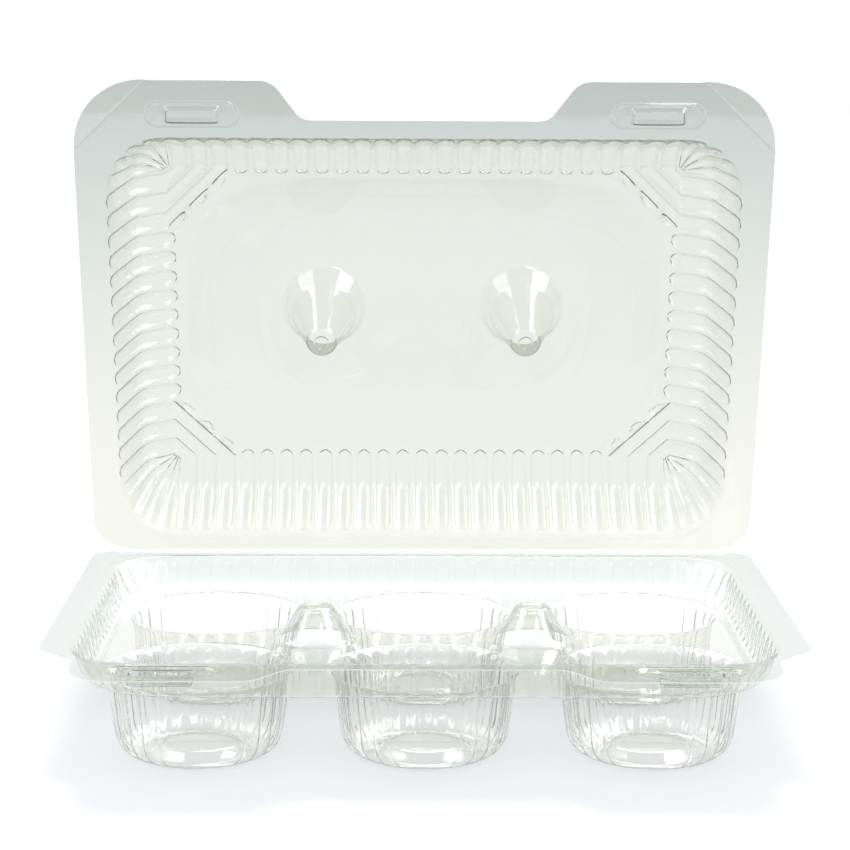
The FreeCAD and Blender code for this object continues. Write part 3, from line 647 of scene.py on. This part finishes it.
# Post: radius, height over the flange
POST_PROFILE = np.array([
    (24.5, 50.5), (23.4, 50.48), (22.4, 50.35), (21.5, 50.0), (20.8, 49.3), (20.2, 48.2),
    (19.6, 46.6), (18.9, 44.8), (18.2, 43.2), (17.4, 41.6), (16.8, 40.4), (16.3, 39.0),
    (15.9, 37.6), (13.5, 27.6), (11.1, 17.6), (8.7, 7.6), (7.6, 3.0), (7.2, 1.3), (6.7, 0.5),
    (6.1, 0.15), (5.4, 0.0), (3.6, 0.0), (3.1, 0.2), (2.8, 0.8), (2.2, 1.0)])

dome = dome_side()
lid_patches = [skin(dome)]
panel_loops = [dome[-1]]
for side in (-1, 1):
    post = lathe((side * CUP_PITCH / 2, 0), POST_PROFILE, LID_FACE)
    lid_patches += [skin(post), filled([post[-1]])]
    panel_loops.append(post[0])
lid_patches.append(filled(panel_loops, shoulder_points()))

LID_SIDE = [(165, 1.15, 17), (165, 245, 33)]
LID_PAD_DEPTH, LID_BUTTON_DEPTH = 0.9, 5
EDGE_STEP = 1.5

# Front corners: a straight crease from side to front, a soft step up over its width
CORNER_LIFT, CREASE_WIDTH = 1.2, 2.0
crease_start, crease_end = np.array([165.0, 210.0]), np.array([129.0, 245.0])
crease_way = (crease_end - crease_start) / np.linalg.norm(crease_end - crease_start)


def spaced(path, step):
    """The same closed path with points a step apart."""
    closed = np.concatenate([path, path[:1]])
    along = np.concatenate([[0], np.cumsum(np.hypot(*np.diff(closed, axis=0).T))])
    spots = np.linspace(0, along[-1], int(along[-1] / step), endpoint=False)
    return np.column_stack([np.interp(spots, along, closed[:, k]) for k in (0, 1)])


def finger_lift(path):
    """Height of the lid's front corners: a smooth step up beyond the crease."""
    beyond = ((path[:, 1] - crease_start[1]) * -crease_way[0]
              + (np.abs(path[:, 0]) - crease_start[0]) * crease_way[1])
    share = np.clip(beyond / CREASE_WIDTH, 0, 1)
    return CORNER_LIFT * share * share * (3 - 2 * share)


def crease_points():
    """Points along both creases, in rows across the step."""
    out = np.array([crease_way[1], -crease_way[0]])
    along = np.linspace(0.04, 0.96, 30)[:, None] * (crease_end - crease_start)
    lines = np.concatenate([crease_start + along + out * beyond
                            for beyond in (0.01, 0.5, 1.0, 1.5, 2.0)])
    return np.concatenate([lines, lines * [-1, 1]])


lid_edge = spaced(rounded_outline(mirrored(LID_SIDE + TAB_END)), EDGE_STEP)
flange_loops = [level(lid_edge - [0, MOUTH_CENTRE], LID_FACE + finger_lift(lid_edge)), dome[0]]
for side in (-1, 1):
    edge, patches = latch(side, LID_FACE, 0, LID_PAD_DEPTH, LID_BUTTON_DEPTH)
    flange_loops.append(edge)
    lid_patches += patches
crease = crease_points()
lid_patches.append(filled(flange_loops, level(crease - [0, MOUTH_CENTRE],
                                              LID_FACE + finger_lift(crease))))


def lid_place(points):
    """From the shut lid (x, reach from the mouth's centre, height) in mm to the open lid in m."""
    reach, height = points[:, 1] + MOUTH_CENTRE, points[:, 2]
    c, s = math.cos(LID_OPENING), math.sin(LID_OPENING)
    placed = np.column_stack([points[:, 0], -reach * c + height * s, reach * s + height * c])
    return placed / 1000 + hinge


LID_REACH, DOME_DRAWN_HEIGHT = 245, 12


def lid_tint_share(points):
    """Share of the darker tint: all of it on the tabs, less towards the hinge, and less on the
    dome, where the sheet is drawn thinner.
    """
    reach = np.clip((points[:, 1] + MOUTH_CENTRE) / LID_REACH, 0, 1)
    drawn = np.clip((points[:, 2] - LID_FACE) / DOME_DRAWN_HEIGHT, 0, 1)
    return (0.1 + 0.9 * reach ** 1.5) * (1 - drawn) + (0.3 + 0.2 * reach) * drawn


# The third colour is the painted shade at slants.
pet_lid = clear_pet("clear PET, lid", (0.915, 0.9, 0.815), (0.51, 0.555, 0.535),
                    (0.86, 0.9, 0.88), 0.02)
lid = welded("lid_shell", lid_patches, lid_place,
             (0, -math.sin(LID_OPENING), -math.cos(LID_OPENING)), lid_tint_share, pet_lid)
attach(lid, "lid")
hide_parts("lid")


# ---- Stage ---------------------------------------------------------------------------------
# A plain white floor and a white surround. Soft lamps on both sides show only in gloss and
# through the clear sheet, and a soft sun and the surround light the floor and make the shadow.

SURROUND_LIGHT, SURROUND_GLOSS = (0.55, 0.565, 0.57), (0.82, 0.84, 0.83)


def unspread(nodes, links):
    """1 for light that no matt surface has spread on its way to the camera, else 0."""
    ray = nodes.new("ShaderNodeLightPath")
    direct = nodes.new("ShaderNodeMath")
    direct.operation = "LESS_THAN"
    direct.inputs[1].default_value = 0.5
    links.new(ray.outputs["Diffuse Depth"], direct.inputs[0])
    return direct.outputs[0]


def plain_sight(nodes, links):
    """1 for what the camera sees straight or through clear plastic, 0 for light on its way."""
    ray = nodes.new("ShaderNodeLightPath")
    seen = nodes.new("ShaderNodeMath")
    seen.operation = "MAXIMUM"
    links.new(ray.outputs["Is Camera Ray"], seen.inputs[0])
    links.new(ray.outputs["Is Transmission Ray"], seen.inputs[1])
    both = nodes.new("ShaderNodeMath")
    both.operation = "MULTIPLY"
    links.new(seen.outputs[0], both.inputs[0])
    links.new(unspread(nodes, links), both.inputs[1])
    return both.outputs[0]


world = bpy.data.worlds.new("studio")
bpy.context.scene.world = world
world.use_nodes = True
nodes, links = world.node_tree.nodes, world.node_tree.links
ray = nodes.new("ShaderNodeLightPath")
gloss = nodes.new("ShaderNodeMix")
gloss.data_type = "RGBA"
gloss.inputs[6].default_value = (*SURROUND_LIGHT, 1)
gloss.inputs[7].default_value = (*SURROUND_GLOSS, 1)
links.new(ray.outputs["Is Glossy Ray"], gloss.inputs[0])
shade = nodes.new("ShaderNodeMix")
shade.data_type = "RGBA"
shade.inputs[7].default_value = (1, 1, 1, 1)
links.new(plain_sight(nodes, links), shade.inputs[0])
links.new(gloss.outputs[2], shade.inputs[6])
links.new(shade.outputs[2], nodes["Background"].inputs["Color"])

FLOOR_COLOUR, FLOOR_ROUGHNESS, FLOOR_LIFT = (0.9, 0.91, 0.93), 0.9, 0.24
mesh = bpy.data.meshes.new("floor")
mesh.from_pydata([(-6, -6, 0), (6, -6, 0), (6, 8, 0), (-6, 8, 0)], [], [(0, 1, 2, 3)])
floor = bpy.data.objects.new("floor", mesh)
bpy.context.scene.collection.objects.link(floor)
material = bpy.data.materials.new("floor white")
material.use_nodes = True
nodes, links = material.node_tree.nodes, material.node_tree.links
shader = nodes["Principled BSDF"]
shader.inputs["Base Color"].default_value = (*FLOOR_COLOUR, 1)
shader.inputs["Roughness"].default_value = FLOOR_ROUGHNESS
shader.inputs["Specular IOR Level"].default_value = 0.0
shader.inputs["Emission Color"].default_value = (1, 1, 1, 1)
lift = nodes.new("ShaderNodeMath")
lift.operation = "MULTIPLY"
lift.inputs[1].default_value = FLOOR_LIFT
links.new(plain_sight(nodes, links), lift.inputs[0])
links.new(lift.outputs[0], shader.inputs["Emission Strength"])
mesh.materials.append(material)

# Lamps: place and aim in metres, width and height, watts
LAMPS = (
    ("right", (0.74, 0.1, 1.02), (0, 0.05, 0.12), (1.3, 0.6), 22),
    ("left", (-0.74, 0.1, 1.02), (0, 0.05, 0.12), (1.3, 0.6), 8),
    ("front", (0.5, -1.2, 1.2), (0, 0, 0.1), (0.5, 0.5), 5),
    ("back", (0.2, 1.3, 1.1), (0, 0, 0.1), (0.9, 0.35), 7))
for name, spot, aim, size_m, watts in LAMPS:
    data = bpy.data.lights.new(name, "AREA")
    data.shape = "RECTANGLE"
    data.size, data.size_y = size_m
    data.energy = watts
    data.use_nodes = True
    nodes, links = data.node_tree.nodes, data.node_tree.links
    links.new(unspread(nodes, links), nodes["Emission"].inputs["Strength"])
    lamp = bpy.data.objects.new(name, data)
    bpy.context.scene.collection.objects.link(lamp)
    lamp.location = spot
    lamp.rotation_euler = (Vector(aim) - Vector(spot)).to_track_quat("-Z", "Y").to_euler()
    lamp.visible_diffuse = False

SUN_POWER, SUN_WIDTH, SUN_TILT = 1.3, math.radians(18), math.radians(-9)
data = bpy.data.lights.new("overhead", "SUN")
data.energy = SUN_POWER
data.angle = SUN_WIDTH
lamp = bpy.data.objects.new("overhead", data)
bpy.context.scene.collection.objects.link(lamp)
lamp.rotation_euler = (SUN_TILT, 0, 0)
lamp.visible_glossy = False
lamp.visible_transmission = False

# Camera at the photograph's place: a long lens, a little above the rim
FOCAL_PIXELS, PICTURE_PIXELS = 2391.84, 850
CAMERA_FROM_HINGE = (-0.01044, -1.18401, 0.26028)
CAMERA_TURNS = (0.56, -9.37, 0.27)

data = bpy.data.cameras.new("camera")
data.sensor_width = 36
data.lens = FOCAL_PIXELS * data.sensor_width / PICTURE_PIXELS
data.clip_end = 20
camera = bpy.data.objects.new("camera", data)
bpy.context.scene.collection.objects.link(camera)
yaw, pitch, roll = (math.radians(turn) for turn in CAMERA_TURNS)
ahead = Vector((math.sin(yaw) * math.cos(pitch), math.cos(yaw) * math.cos(pitch),
                math.sin(pitch)))
right = Vector((math.cos(yaw), -math.sin(yaw), 0))
above = right.cross(ahead)
right, above = (right * math.cos(roll) + above * math.sin(roll),
                above * math.cos(roll) - right * math.sin(roll))
camera.matrix_world = (Matrix.Translation(Vector(CAMERA_FROM_HINGE) + Vector(hinge))
                       @ Matrix((right, above, -ahead)).transposed().to_4x4())
bpy.context.scene.camera = camera
bpy.context.scene.view_settings.view_transform = "Standard"
